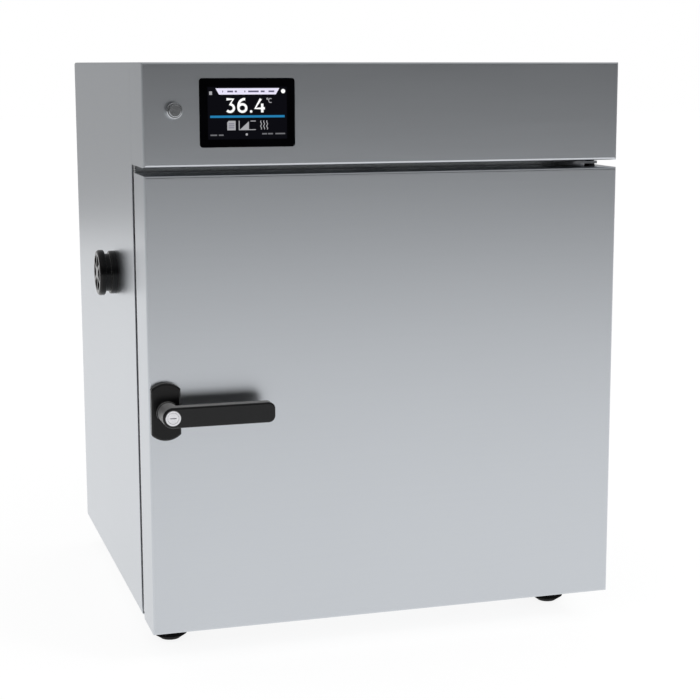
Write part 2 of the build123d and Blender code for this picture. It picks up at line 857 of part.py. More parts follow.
with BuildPart() as foot_nuts:
    with Locations(*[facing_up(wool_bottom, x, y) for x, y in foot_places]):
        add(hex_nut(large_screw, foot_nut_height))
finish(foot_nuts, "foot_nuts")

# Control head: folded sheet box with the display's and the button's openings
head_middle = (head_bottom + top) / 2
display_x = left + display_left + display_width / 2
display_z = head_bottom + display_rise + display_height / 2
button_x = left + button_inset
button_z = head_bottom + button_rise
stud_places = [
    (display_x + sx * (display_width / 2 + bracket_border / 2),
     display_z + sz * (display_height / 2 + bracket_border / 2 - 3.0))
    for sx in (-1, 1)
    for sz in (-1, 1)
]
with BuildPart() as control_head:
    add(
        pan(
            facing_front(door_front, middle, head_middle),
            housing_width,
            head_height,
            front_depth,
        )
    )
    with BuildSketch(facing_front(housing_front)):
        with Locations((middle, head_middle)):
            Rectangle(housing_width, head_height)
            Rectangle(housing_width - 2 * lip, head_height - 2 * lip, mode=Mode.SUBTRACT)
    extrude(amount=sheet)
    with BuildSketch(facing_front(door_front)):
        with Locations((display_x, display_z)):
            RectangleRounded(
                display_width + 2 * seam, display_height + 2 * seam, display_radius + seam
            )
        with Locations((button_x, button_z)):
            Circle(barrel_hole_radius + hole_play / 2)
    extrude(amount=-2 * sheet, mode=Mode.SUBTRACT)
    with BuildSketch(facing_front(door_front + sheet / 2)):
        with Locations(*stud_places):
            Circle(stud_radius)
    extrude(amount=-(stud_length + sheet / 2))
    with Locations(*[facing_front(housing_front, x, z) for x, z in head_screw_places]):
        Cylinder((small_screw + hole_play) / 2, 4 * sheet, mode=Mode.SUBTRACT)
finish(control_head, "control_head")

# Display: glass let into the sheet, a bracket behind it and the display module
glass_thickness = sheet + glass_proud
with BuildPart() as display_glass:
    with BuildSketch(facing_front(door_front + sheet, display_x, display_z)):
        RectangleRounded(display_width, display_height, display_radius)
    extrude(amount=glass_thickness)
    fillet(display_glass.faces().sort_by(Axis.Y)[0].edges(), 0.4)
finish(display_glass, "display_glass")

module_width = display_width - 2 * module_border
module_height = display_height - 2 * module_border
bracket_back = door_front + sheet + bracket_plate
with BuildPart() as display_bracket:
    with BuildSketch(facing_front(door_front + sheet)):
        with Locations((display_x, display_z)):
            RectangleRounded(
                display_width + 2 * bracket_border, display_height + 2 * bracket_border - 4.0, 4.0
            )
            Rectangle(module_width + 2 * seam, module_height + 2 * seam, mode=Mode.SUBTRACT)
        with Locations(*stud_places):
            Circle(stud_radius + hole_play / 2, mode=Mode.SUBTRACT)
    extrude(amount=-bracket_plate)
finish(display_bracket, "display_bracket")

with BuildPart() as display_module:
    with BuildSketch(facing_front(door_front + sheet, display_x, display_z)):
        Rectangle(module_width, module_height)
    extrude(amount=-bracket_plate - 4.0)
    with BuildSketch(facing_front(bracket_back, display_x, display_z)):
        Rectangle(module_width + 8.0, module_height + 8.0)
    extrude(amount=-1.6)
    with BuildSketch(facing_front(bracket_back + 1.6, display_x, display_z)):
        with GridLocations(50.0, 26.0, 2, 2):
            Rectangle(18.0, 12.0)
    extrude(amount=-6.0)
finish(display_module, "display_module")

with BuildPart() as bracket_nuts:
    with Locations(*[facing_back(bracket_back, x, z) for x, z in stud_places]):
        add(hex_nut(2 * stud_radius, 2.4))
finish(bracket_nuts, "bracket_nuts")

# Power button: collar clamped in the sheet by a nut, moving cap and switch body
cap_radius = button_radius - cap_margin
with BuildPart() as button_collar:
    with BuildSketch(facing_front(door_front, button_x, button_z)):
        Circle(button_radius)
    extrude(amount=collar_reach)
    fillet(button_collar.edges().group_by(Axis.Y)[0], 1.2)
    with BuildSketch(facing_front(door_front, button_x, button_z)):
        Circle(barrel_hole_radius)
    extrude(amount=-collar_barrel)
    with BuildSketch(facing_front(door_front - collar_reach, button_x, button_z)):
        Circle(cap_radius + seam)
    extrude(amount=-(button_travel + cap_skirt), mode=Mode.SUBTRACT)
    with Locations(facing_front(door_front, button_x, button_z)):
        Hole(cap_stem_radius + pin_fit)
finish(button_collar, "button_collar")

with BuildPart() as power_button:
    cap_back = door_front - collar_reach + cap_skirt - seam
    with BuildSketch(facing_front(cap_back, button_x, button_z)):
        Circle(cap_radius)
    extrude(amount=cap_back - (door_front - button_reach))
    fillet(power_button.edges().group_by(Axis.Y)[0], 0.8)
    with BuildSketch(facing_front(cap_back, button_x, button_z)):
        Circle(cap_stem_radius)
    extrude(amount=-(door_front + collar_barrel - 4.0 - cap_back))
finish(power_button, "power_button")

with BuildPart() as button_nut:
    with BuildSketch(facing_back(door_front + sheet, button_x, button_z)):
        RegularPolygon(10.5, 6)
        Circle(barrel_hole_radius + pin_fit, mode=Mode.SUBTRACT)
    extrude(amount=3.0)
finish(button_nut, "button_nut")

with BuildPart() as button_switch:
    with BuildSketch(facing_back(door_front + collar_barrel, button_x, button_z)):
        RectangleRounded(switch_width, switch_width, 2.0)
    extrude(amount=switch_depth)
    with BuildSketch(facing_back(door_front + collar_barrel + switch_depth, button_x, button_z)):
        with GridLocations(6.0, 8.0, 2, 2):
            Rectangle(0.8, 3.0)
    extrude(amount=7.0)
finish(button_switch, "button_switch")

# Electrical parts on the compartment floor
floor_top = divider + sheet
board_x = middle + board_right
board_y = housing_front + board_behind
standoff_places = [
    (
        board_x + sx * (board_width / 2 - standoff_inset),
        board_y + sy * (board_depth / 2 - standoff_inset),
    )
    for sx in (-1, 1)
    for sy in (-1, 1)
]
with BuildPart() as board_standoffs:
    with BuildSketch(facing_up(floor_top)):
        with Locations(*standoff_places):
            RegularPolygon(standoff_radius, 6)
    extrude(amount=standoff_height)
finish(board_standoffs, "board_standoffs")

with BuildPart() as controller_board:
    board_z = floor_top + standoff_height
    with BuildSketch(facing_up(board_z, board_x, board_y)):
        Rectangle(board_width, board_depth)
    extrude(amount=board_thickness)
    with BuildSketch(facing_up(board_z + board_thickness, board_x, board_y)):
        with Locations((-switch_block_left, 0.0)):
            Rectangle(switch_block_width, switch_block_depth)
        with Locations((0.0, -board_depth / 2 + plug_row_inset)):
            Rectangle(plug_row_length, plug_row_depth)
    extrude(amount=block_height)
    with BuildSketch(facing_up(board_z + board_thickness, board_x, board_y)):
        with Locations((chip_right, chip_behind)):
            Rectangle(chip_size, chip_size)
    extrude(amount=chip_height)
    with BuildSketch(facing_up(board_z + board_thickness, board_x, board_y)):
        with Locations((capacitors_right, capacitors_behind)):
            with GridLocations(capacitor_pitch, capacitor_pitch, 2, 2):
                Circle(capacitor_radius)
    extrude(amount=capacitor_height)
finish(controller_board, "controller_board")

supply_x = middle - supply_left
supply_y = housing_front + supply_behind
with BuildPart() as power_supply:
    with BuildSketch(facing_up(floor_top, supply_x, supply_y)):
        Rectangle(supply_width, supply_depth)
    extrude(amount=supply_height)
    with BuildSketch(facing_up(floor_top + supply_height, supply_x, supply_y - 10.0)):
        with GridLocations(vent_pitch, 0.0, vent_count, 1):
            SlotOverall(vent_length, vent_width, rotation=90)
    extrude(amount=-vent_depth, mode=Mode.SUBTRACT)
    with BuildSketch(facing_front(supply_y - supply_depth / 2, supply_x, floor_top + 20.0)):
        with GridLocations(terminal_pitch, 0.0, terminal_count, 1):
            Rectangle(terminal_pitch - 2.0, 12.0)
    extrude(amount=8.0)
finish(power_supply, "power_supply")

relay_x = middle + relay_right
relay_y = housing_front + relay_behind
with BuildPart() as heater_relay:
    with BuildSketch(facing_front(relay_y - sink_length / 2, relay_x, floor_top)):
        Rectangle(fin_pitch * fin_count, sink_base, align=(Align.CENTER, Align.MIN))
        with Locations((0, sink_base)):
            with GridLocations(fin_pitch, 0, fin_count, 1):
                Rectangle(fin_width, fin_height, align=(Align.CENTER, Align.MIN))
    extrude(amount=-sink_length)
    with BuildSketch(facing_up(floor_top + sink_base + fin_height, relay_x, relay_y)):
        Rectangle(relay_width, relay_depth)
    extrude(amount=relay_height)
    fillet(heater_relay.faces().sort_by(Axis.Z)[-1].edges(), 2.0)
finish(heater_relay, "heater_relay")

# Mains inlet: socket without its lead, let into the rear panel
with BuildPart() as power_inlet:
    with BuildSketch(facing_back(rear, inlet_x, inlet_z)):
        RectangleRounded(inlet_width + 2 * inlet_border, inlet_height + 2 * inlet_border, 2.0)
    extrude(amount=inlet_flange)
    fillet(power_inlet.faces().sort_by(Axis.Y)[-1].edges(), 0.8)
    with BuildSketch(facing_back(rear, inlet_x, inlet_z)):
        Rectangle(inlet_width, inlet_height)
    extrude(amount=-(socket_depth + inlet_back))
    with BuildSketch(facing_back(rear + inlet_flange, inlet_x, inlet_z)) as mouth:
        Rectangle(socket_width, socket_height)
        chamfer(mouth.vertices().group_by(Axis.Y)[0], socket_chamfer)
    extrude(amount=-(socket_depth + inlet_flange), mode=Mode.SUBTRACT)
    with BuildSketch(facing_back(rear - socket_depth, inlet_x, inlet_z)):
        with Locations((-blade_side, blade_rise), (blade_side, blade_rise), (0.0, -blade_rise)):
            Rectangle(blade_width, blade_height)
    extrude(amount=blade_length)
finish(power_inlet, "power_inlet")

# Door skin: one folded sheet with lips at the back for the inner panel
skin_rear = door_rear - sheet
handle_screw_rise = plate_height / 2 - handle_screw_inset
handle_screw_places = [
    (handle_x + plate_offset, handle_z + side * handle_screw_rise) for side in (-1, 1)
]
spindle_bush_radius = spindle_radius + spindle_bush_wall
bush_radius = pin_radius + bush_wall
with BuildPart() as door_skin:
    add(
        pan(
            facing_front(door_front, middle, door_middle),
            housing_width,
            door_height,
            door_thickness - sheet,
        )
    )
    with BuildSketch(facing_front(skin_rear)):
        with Locations((middle, door_middle)):
            Rectangle(housing_width, door_height)
            Rectangle(housing_width - 2 * lip, door_height - 2 * lip, mode=Mode.SUBTRACT)
    extrude(amount=sheet)
    with Locations(facing_front(door_front, handle_x, handle_z)):
        Hole(spindle_bush_radius + hole_play / 2, depth=door_thickness)
    with Locations(*[facing_front(door_front, x, z) for x, z in handle_screw_places]):
        Hole((small_screw + hole_play) / 2, depth=2 * sheet)
    with Locations(facing_up(door_top, hinge_x, hinge_y)):
        Hole(bush_radius + hole_play / 2, depth=2 * sheet)
    with Locations(facing_down(bottom, hinge_x, hinge_y)):
        Hole(bush_radius + hole_play / 2, depth=2 * sheet)
finish(door_skin, "door_skin")

# Door inner panel: flat rim on the skin's lips and a raised middle
raised_width = chamber_width - 2 * plug_clearance
raised_height = chamber_height - 2 * plug_clearance
raised_face = facing_back(door_rear + plug_depth, middle, chamber_middle)
with BuildPart() as door_panel:
    with BuildSketch(facing_front(door_rear)):
        with Locations((middle, door_middle)):
            RectangleRounded(
                housing_width - 2 * panel_inset, door_height - 2 * panel_inset, fold
            )
    extrude(amount=sheet)
    add(
        rounded_block(
            raised_face,
            raised_width,
            raised_height,
            plug_depth + sheet,
            plug_fold,
            chamber_radius,
        )
    )
    add(
        rounded_block(
            raised_face.offset(-sheet),
            raised_width - 2 * sheet,
            raised_height - 2 * sheet,
            plug_depth + sheet,
            plug_fold - sheet,
            chamber_radius - sheet,
        ),
        mode=Mode.SUBTRACT,
    )
    with Locations(facing_back(door_rear, handle_x, handle_z)):
        Hole(spindle_bush_radius + hole_play / 2, depth=2 * sheet)
finish(door_panel, "door_panel")

# Door insulation: slab that fills the skin and steps into the raised middle
spindle_passage = 2 * spindle_bush_radius
hinge_block_height = bush_length + 2.0
with BuildPart() as door_insulation:
    with BuildSketch(facing_front(skin_rear - sheet, middle, door_middle)):
        Rectangle(housing_width - 2 * sheet, door_height - 2 * sheet)
    extrude(amount=door_thickness - 3 * sheet)
    fillet(door_insulation.faces().sort_by(Axis.Y)[0].edges(), fold)
    with BuildSketch(facing_front(skin_rear - sheet, middle, door_middle)):
        Rectangle(housing_width - 2 * lip, door_height - 2 * lip)
    extrude(amount=-sheet)
    add(
        rounded_block(
            raised_face.offset(-sheet),
            raised_width - 2 * sheet,
            raised_height - 2 * sheet,
            plug_depth + sheet,
            plug_fold - sheet,
            chamber_radius - sheet,
        )
    )
    with Locations(facing_front(door_front, handle_x, handle_z)):
        Hole(spindle_passage, depth=door_thickness)
    with Locations(*[facing_front(door_front, x, z) for x, z in handle_screw_places]):
        Cylinder(small_screw + 1.0, 2 * (sheet + 6.0), mode=Mode.SUBTRACT)
    with Locations((hinge_x, hinge_y, door_top), (hinge_x, hinge_y, bottom)):
        Box(
            hinge_block_size + 2 * seam + 10.0,
            hinge_block_size + 2 * seam,
            2 * (sheet + hinge_block_height + seam),
            mode=Mode.SUBTRACT,
        )
finish(door_insulation, "door_insulation")

# Gasket: soft profile around the chamber's mouth, broad base and sealing bulb
seal_gap = front_depth - door_thickness
gasket_inner = 2.0
bulb_inner = gasket_inner + (gasket_width - gasket_bulb) / 2


def ring(inner_margin, width):
    """Rounded frame around the chamber's mouth, drawn in the active sketch."""
    with Locations((middle, chamber_middle)):
        RectangleRounded(
            chamber_width + 2 * (inner_margin + width),
            chamber_height + 2 * (inner_margin + width),
            chamber_radius + inner_margin + width,
        )
        RectangleRounded(
            chamber_width + 2 * inner_margin,
            chamber_height + 2 * inner_margin,
            chamber_radius + inner_margin,
            mode=Mode.SUBTRACT,
        )


with BuildPart() as door_gasket:
    with BuildSketch(facing_front(door_rear)):
        ring(gasket_inner, gasket_width)
    extrude(amount=-gasket_base)
    with BuildSketch(facing_front(door_rear + gasket_base)):
        ring(bulb_inner, gasket_bulb)
    extrude(amount=-(seal_gap - gasket_base))
    fillet(door_gasket.faces().sort_by(Axis.Y)[-1].edges(), 3.0)
finish(door_gasket, "door_gasket")


# Hinges: bracket on the front frame, fixed pin, bush and block in the door
def hinge_bracket(tongue_face, leg_end):
    """Angle bracket with its tongue's outer face at one height and its leg ending at another."""
    upward = 1 if tongue_face > leg_end else -1
    leg_middle = (tongue_face + leg_end) / 2
    with BuildPart() as bracket:
        with BuildSketch(facing_front(housing_front, hinge_leg_x, leg_middle)):
            Rectangle(bracket_width, abs(tongue_face - leg_end))
        extrude(amount=bracket_sheet)
        tongue_front = hinge_y - bracket_nose
        with BuildSketch(facing_up(tongue_face)) as tongue:
            with Locations((hinge_leg_x, (tongue_front + housing_front) / 2)):
                Rectangle(bracket_width, housing_front - tongue_front)
            fillet(tongue.vertices().group_by(Axis.Y)[0], bracket_nose - 1.0)
            with Locations((hinge_x, hinge_y)):
                Circle(pin_radius + pin_fit, mode=Mode.SUBTRACT)
        extrude(amount=-upward * bracket_sheet)
        with Locations(
            *[
                facing_front(housing_front - bracket_sheet, x, z)
                for x, z in hinge_screw_places
                if abs(z - leg_middle) < bracket_leg
            ]
        ):
            CounterSinkHole(
                (hinge_screw + hole_play) / 2, sink_share * hinge_screw + hole_play, 2 * bracket_sheet
            )
    return bracket


top_tongue_high = top_tongue_low + bracket_sheet
bottom_tongue_low = bottom_tongue_high - bracket_sheet
finish(hinge_bracket(top_tongue_high, leg_top_low), "hinge_bracket_top")
finish(hinge_bracket(bottom_tongue_low, leg_bottom_high), "hinge_bracket_bottom")

pin_shank = top_bracket_gap + bracket_sheet + bush_length - pin_short
with BuildPart() as pin:
    Cylinder(pin_radius + pin_head_border, pin_head_height, align=(Align.CENTER, Align.CENTER, Align.MIN))
    chamfer(pin.edges().group_by(Axis.Z)[-1], 0.5)
    Cylinder(pin_radius, pin_shank, align=(Align.CENTER, Align.CENTER, Align.MAX))
    chamfer(pin.edges().group_by(Axis.Z)[0], 0.8)

with BuildPart() as hinge_pins:
    with Locations(
        facing_up(top_tongue_high, hinge_x, hinge_y), facing_down(bottom_tongue_low, hinge_x, hinge_y)
    ):
        add(pin.part)
finish(hinge_pins, "hinge_pins")

with BuildPart() as door_bushes:
    for bush_plane, flange in (
        (facing_up(door_top, hinge_x, hinge_y), top_bush_flange),
        (facing_down(bottom, hinge_x, hinge_y), bottom_bush_flange),
    ):
        with Locations(bush_plane):
            Cone(
                bush_flange_radius,
                bush_flange_radius - 1.0,
                flange,
                align=(Align.CENTER, Align.CENTER, Align.MIN),
            )
            Cylinder(bush_radius, bush_length, align=(Align.CENTER, Align.CENTER, Align.MAX))
            Cylinder(pin_radius + pin_fit, 3 * bush_length, mode=Mode.SUBTRACT)
finish(door_bushes, "door_bushes")

with BuildPart() as door_hinge_blocks:
    with Locations(
        facing_down(door_top - sheet, hinge_x, hinge_y),
        facing_up(bottom + sheet, hinge_x, hinge_y),
    ):
        Box(
            hinge_block_size,
            hinge_block_size,
            hinge_block_height,
            align=(Align.CENTER, Align.CENTER, Align.MIN),
        )
        Cylinder(bush_radius + pin_fit, 3 * hinge_block_height, mode=Mode.SUBTRACT)
finish(door_hinge_blocks, "door_hinge_blocks")

with BuildPart() as hinge_screws:
    with Locations(
        *[facing_front(housing_front - bracket_sheet, x, z) for x, z in hinge_screw_places]
    ):
        add(flat_screw(hinge_screw, hinge_screw_length))
finish(hinge_screws, "hinge_screws")

with BuildPart() as hinge_backing_plates:
    for backing_z in (leg_top_low + backing_height / 2, leg_bottom_high - backing_height / 2):
        with BuildSketch(facing_back(liner_front, hinge_leg_x, backing_z)):
            Rectangle(bracket_width, backing_height)
        extrude(amount=bracket_sheet)
    with Locations(*[facing_back(liner_front + bracket_sheet, x, z) for x, z in hinge_screw_places]):
        Hole((hinge_screw + hole_play) / 2, depth=2 * bracket_sheet)
finish(hinge_backing_plates, "hinge_backing_plates")

# Handle plate: arched top and bottom, bevelled towards the front
with BuildPart() as handle_plate:
    plate_x = handle_x + plate_offset
    half_plate = plate_width / 2
    shoulder = plate_height / 2 - plate_arch
    with BuildSketch(facing_front(door_front, plate_x, handle_z)):
        with BuildLine():
            Line((-half_plate, -shoulder), (-half_plate, shoulder))
            ThreePointArc((-half_plate, shoulder), (0, plate_height / 2), (half_plate, shoulder))
            Line((half_plate, shoulder), (half_plate, -shoulder))
            ThreePointArc(
                (half_plate, -shoulder), (0, -plate_height / 2), (-half_plate, -shoulder)
            )
        make_face()
    extrude(amount=plate_thickness)
    fillet(handle_plate.edges().filter_by(Axis.Y), 2.5)
    chamfer(handle_plate.faces().sort_by(Axis.Y)[0].edges(), 2.0)
    with Locations(facing_front(door_front - plate_thickness, handle_x, handle_z)):
        Hole(spindle_bush_radius + hole_play / 2, depth=2 * plate_thickness)
    with Locations(*[facing_back(door_front, x, z) for x, z in handle_screw_places]):
        Hole((small_screw + hole_play) / 2, depth=plate_thickness - handle_screw_cover)
finish(handle_plate, "handle_plate")

with BuildPart() as handle_screws:
    with Locations(*[facing_back(door_front + sheet, x, z) for x, z in handle_screw_places]):
        add(pan_screw(small_screw, sheet + plate_thickness - handle_screw_cover - 1.0))
finish(handle_screws, "handle_screws")

# Lever: round hub and flat arm with rounded end, bored for the lock
hub_back = door_front - plate_thickness - seam
lever_front = door_front - hub_reach
with BuildPart() as door_lever:
    with BuildSketch(facing_front(hub_back, handle_x, handle_z)):
        Circle(hub_radius + hub_flare)
    extrude(amount=hub_flare_length)
    with BuildSketch(facing_front(hub_back - hub_flare_length, handle_x, handle_z)):
        Circle(hub_radius)
    extrude(amount=hub_back - hub_flare_length - lever_front)
    with BuildSketch(facing_front(lever_front + lever_thickness, handle_x, handle_z)) as arm:
        with Locations((lever_length / 2, 0)):
            Rectangle(lever_length, lever_height)
        fillet(arm.vertices().group_by(Axis.X)[-1], lever_corner)
    extrude(amount=lever_thickness)
    fillet(door_lever.faces().sort_by(Axis.Y)[0].edges(), lever_edge)
    with BuildSketch(facing_front(lever_front, handle_x, handle_z)):
        Circle(barrel_radius + pin_fit)
    extrude(amount=-barrel_length, mode=Mode.SUBTRACT)
    with BuildSketch(facing_front(hub_back, handle_x, handle_z)):
        Circle(spindle_radius + pin_fit)
    extrude(amount=spindle_seat, mode=Mode.SUBTRACT)
finish(door_lever, "door_lever")

with BuildPart() as lock_barrel:
    barrel_back = lever_front + barrel_length
    with BuildSketch(facing_front(barrel_back, handle_x, handle_z)):
        Circle(barrel_radius)
    extrude(amount=barrel_length + barrel_proud)
    fillet(lock_barrel.edges().group_by(Axis.Y)[0], 0.5)
    with BuildSketch(facing_front(lever_front - barrel_proud, handle_x, handle_z)):
        Circle(lock_plug_radius + pin_fit)
    extrude(amount=-(barrel_length - 1.0), mode=Mode.SUBTRACT)
finish(lock_barrel, "lock_barrel")

with BuildPart() as lock_plug:
    with BuildSketch(facing_front(barrel_back - 3.0, handle_x, handle_z)):
        Circle(lock_plug_radius)
    extrude(amount=barrel_length - 3.0 + barrel_proud - 0.3)
    fillet(lock_plug.edges().group_by(Axis.Y)[0], 0.4)
    with BuildSketch(facing_front(lever_front - barrel_proud, handle_x, handle_z)):
        SlotOverall(key_slot_length, key_slot_width)
    extrude(amount=-key_slot_depth, mode=Mode.SUBTRACT)
finish(lock_plug, "lock_plug")

# Latch: spindle through the door, two bushes, tongue and nut
tongue_front = door_rear + tongue_gap
tongue_rear = tongue_front + tongue_thickness
with BuildPart() as latch_spindle:
    with BuildSketch(facing_front(tongue_front, handle_x, handle_z)):
        Circle(spindle_radius)
    extrude(amount=tongue_front - hub_back + spindle_seat - 0.5)
    with BuildSketch(facing_back(tongue_front, handle_x, handle_z)):
        Circle(spindle_end_radius)
    extrude(amount=tongue_thickness + spindle_nut_height + 0.5)
finish(latch_spindle, "latch_spindle")

with BuildPart() as spindle_bushes:
    with BuildSketch(facing_front(door_front - plate_thickness, handle_x, handle_z)):
        Circle(spindle_bush_radius)
    extrude(amount=-front_bush_length)
    with BuildSketch(facing_back(door_rear, handle_x, handle_z)):
        Circle(spindle_bush_radius)
    extrude(amount=-rear_bush_length)
    with BuildSketch(facing_back(door_rear, handle_x, handle_z)):
        Circle(spindle_bush_radius + 2.0)
    extrude(amount=rear_bush_flange)
    with Locations(facing_back(door_rear + rear_bush_flange, handle_x, handle_z)):
        Hole(spindle_radius + pin_fit)
finish(spindle_bushes, "spindle_bushes")

with BuildPart() as latch_tongue:
    with BuildSketch(facing_back(tongue_front, handle_x, handle_z)):
        Circle(tongue_width / 2 + 2.0)
    extrude(amount=tongue_thickness)
    with BuildSketch(facing_front(tongue_front, handle_x, handle_z)):
        with Locations((0, (tongue_length - tongue_width / 2) / 2)):
            SlotOverall(tongue_length + tongue_width / 2, tongue_width, rotation=90)
    extrude(amount=-tongue_thickness)
    with Locations(facing_back(tongue_rear, handle_x, handle_z)):
        Hole(spindle_end_radius + pin_fit, depth=2 * tongue_thickness)
finish(latch_tongue, "latch_tongue")

with BuildPart() as spindle_nut:
    with BuildSketch(facing_back(tongue_rear, handle_x, handle_z)):
        RegularPolygon(8.5, 6)
        Circle(spindle_end_radius + pin_fit, mode=Mode.SUBTRACT)
    extrude(amount=spindle_nut_height)
finish(spindle_nut, "spindle_nut")

# Keeper: folded bracket on the front frame with a lip in front of the turned tongue
with BuildPart() as latch_keeper:
    with BuildSketch(facing_front(housing_front)):
        with Locations((keeper_x + keeper_foot / 2, keeper_floor + keeper_height / 2)):
            Rectangle(keeper_width + keeper_foot, keeper_height)
    extrude(amount=keeper_sheet)
    with BuildSketch(facing_up(keeper_floor)):
        with Locations((keeper_x, (keeper_lip_front + housing_front) / 2)):
            Rectangle(keeper_width, housing_front - keeper_lip_front)
    extrude(amount=keeper_sheet)
    with BuildSketch(facing_front(keeper_lip_front + keeper_sheet)):
        with Locations((keeper_x, keeper_floor)):
            Rectangle(keeper_width, keeper_lip, align=(Align.CENTER, Align.MIN))
    extrude(amount=keeper_sheet)
    fillet(latch_keeper.edges().filter_by(Axis.X).group_by(Axis.Y)[0].sort_by(Axis.Z)[0], 1.5)
    with Locations(
        *[facing_front(housing_front - keeper_sheet, x, z) for x, z in keeper_screw_places]
    ):
        Hole((small_screw + hole_play) / 2, depth=2 * keeper_sheet)
finish(latch_keeper, "latch_keeper")

# Cabinet screws: one size holds the rear panel, the control head and the keeper
with BuildPart() as cabinet_screws:
    with Locations(
        *[facing_back(rear, x, z) for x, z in rear_screw_places],
        *[facing_back(housing_front + sheet, x, z) for x, z in head_screw_places],
        *[facing_front(housing_front - keeper_sheet, x, z) for x, z in keeper_screw_places],
    ):
        add(pan_screw(small_screw, small_screw_length))
finish(cabinet_screws, "cabinet_screws")
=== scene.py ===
"""Studio scene of a bench-top laboratory incubator in brushed steel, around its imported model."""

import json
import math

import bmesh
import bpy
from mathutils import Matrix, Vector


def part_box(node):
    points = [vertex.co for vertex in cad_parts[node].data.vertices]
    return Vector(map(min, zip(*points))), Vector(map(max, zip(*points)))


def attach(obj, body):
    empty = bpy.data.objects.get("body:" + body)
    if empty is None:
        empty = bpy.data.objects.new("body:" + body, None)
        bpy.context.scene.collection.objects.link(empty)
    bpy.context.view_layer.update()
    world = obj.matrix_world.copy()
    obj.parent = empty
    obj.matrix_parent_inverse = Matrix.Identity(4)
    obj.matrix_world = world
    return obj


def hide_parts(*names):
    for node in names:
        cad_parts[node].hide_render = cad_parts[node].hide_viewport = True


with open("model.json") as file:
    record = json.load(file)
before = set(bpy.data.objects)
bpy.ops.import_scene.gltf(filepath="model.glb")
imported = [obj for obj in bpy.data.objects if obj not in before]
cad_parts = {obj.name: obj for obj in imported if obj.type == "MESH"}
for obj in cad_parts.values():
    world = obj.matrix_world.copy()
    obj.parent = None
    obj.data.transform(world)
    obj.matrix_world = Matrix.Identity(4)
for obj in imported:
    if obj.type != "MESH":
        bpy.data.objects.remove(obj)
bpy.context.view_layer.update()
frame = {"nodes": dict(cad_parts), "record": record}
scene = bpy.context.scene
nodes = frame["nodes"]

# Photograph's camera, in metres and degrees, and its principal point in pixels
IMAGE_SIZE = 700
CAMERA_PLACE = (-0.6055, -2.1748, 0.7126)
CAMERA_YAW = 17.38
CAMERA_PITCH = 9.61
FOCAL_PIXELS = 1681.9
PRINCIPAL_POINT = (374.9, 348.3)
SENSOR = 36.0
FAR_CLIP = 50.0


def linear(red, green, blue):
    """Linear colour of an 8-bit one as a screen shows it."""

    def channel(value):
        share = value / 255
        return share / 12.92 if share <= 0.04045 else ((share + 0.055) / 1.055) ** 2.4

    return (channel(red), channel(green), channel(blue), 1.0)


def grey(level):
    """Neutral colour of a linear level."""
    return (level, level, level, 1.0)


# Camera
def make_camera():
    data = bpy.data.cameras.new("camera")
    data.sensor_width = SENSOR
    data.lens = FOCAL_PIXELS / IMAGE_SIZE * SENSOR
    data.shift_x = (IMAGE_SIZE / 2 - PRINCIPAL_POINT[0]) / IMAGE_SIZE
    data.shift_y = (PRINCIPAL_POINT[1] - IMAGE_SIZE / 2) / IMAGE_SIZE
    data.clip_end = FAR_CLIP
    camera = bpy.data.objects.new("camera", data)
    camera.location = CAMERA_PLACE
    camera.rotation_euler = (
        math.radians(90 - CAMERA_PITCH),
        0,
        math.radians(-CAMERA_YAW),
    )
    scene.collection.objects.link(camera)
    scene.camera = camera


# Small helpers for node trees
class Tree:
    """A material's or the world's node tree, with short calls to add and join nodes."""

    def __init__(self, owner):
        owner.use_nodes = True
        self.tree = owner.node_tree
        self.tree.nodes.clear()

    def add(self, kind, inputs=None, **settings):
        """New node with its settings and its inputs, which are values or other nodes' outputs."""
        node = self.tree.nodes.new(kind)
        for name, value in settings.items():
            setattr(node, name, value)
        for name, value in (inputs or {}).items():
            if isinstance(value, bpy.types.NodeSocket):
                self.tree.links.new(value, node.inputs[name])
            else:
                node.inputs[name].default_value = value
        return node

    def scaled(self, vector, scale):
        """Vector multiplied by a scale for each axis."""
        return self.add(
            "ShaderNodeVectorMath", {0: vector, 1: scale}, operation="MULTIPLY"
        ).outputs["Vector"]

    def noise(self, vector, scale, detail=3.0, rough=0.5):
        """Grey noise between 0 and 1."""
        return self.add(
            "ShaderNodeTexNoise",
            {"Vector": vector, "Scale": scale, "Detail": detail, "Roughness": rough},
        ).outputs["Fac"]

    def spread(self, value, low, high, start=0.3, end=0.7):
        """Value from start to end mapped to low to high."""
        return self.add(
            "ShaderNodeMapRange",
            {"Value": value, "From Min": start, "From Max": end, "To Min": low, "To Max": high},
        ).outputs["Result"]

    def colours(self, factor, first, second):
        """Colour between two by a factor."""
        mix = self.add("ShaderNodeMix", {"Factor": factor}, data_type="RGBA")
        mix.inputs[6].default_value = first
        mix.inputs[7].default_value = second
        return mix.outputs[2]

    def bump(self, height, strength, distance):
        """Normal of a height pattern, distance in metres."""
        return self.add(
            "ShaderNodeBump", {"Height": height, "Strength": strength, "Distance": distance}
        ).outputs["Normal"]


def principled(name, build, **constants):
    """Material with one principled shader. build(tree) gives the linked inputs by name."""
    material = bpy.data.materials.new(name)
    tree = Tree(material)
    inputs = {
        key.replace("_", " ").title().replace("Ior", "IOR"): value for key, value in constants.items()
    }
    inputs.update(build(tree))
    shader = tree.add("ShaderNodeBsdfPrincipled", inputs)
    tree.add("ShaderNodeOutputMaterial", {"Surface": shader.outputs[0]})
    return material


def object_place(tree):
    """Place on the object at rest, in metres."""
    return tree.add("ShaderNodeTexCoord").outputs["Object"]


# Materials: shares and scales that several of them use
SIDE_SLOPE = 0.7  # share of the normal along X from which a face counts as a side
GRAIN_STRETCH = 0.015  # scale of the brushed lines along their length
CLOUD_SCALE = 3.0
WAVE_SCALE = 2.2
FINE_BUMP = 0.10
MOTTLE_BUMP = 0.3


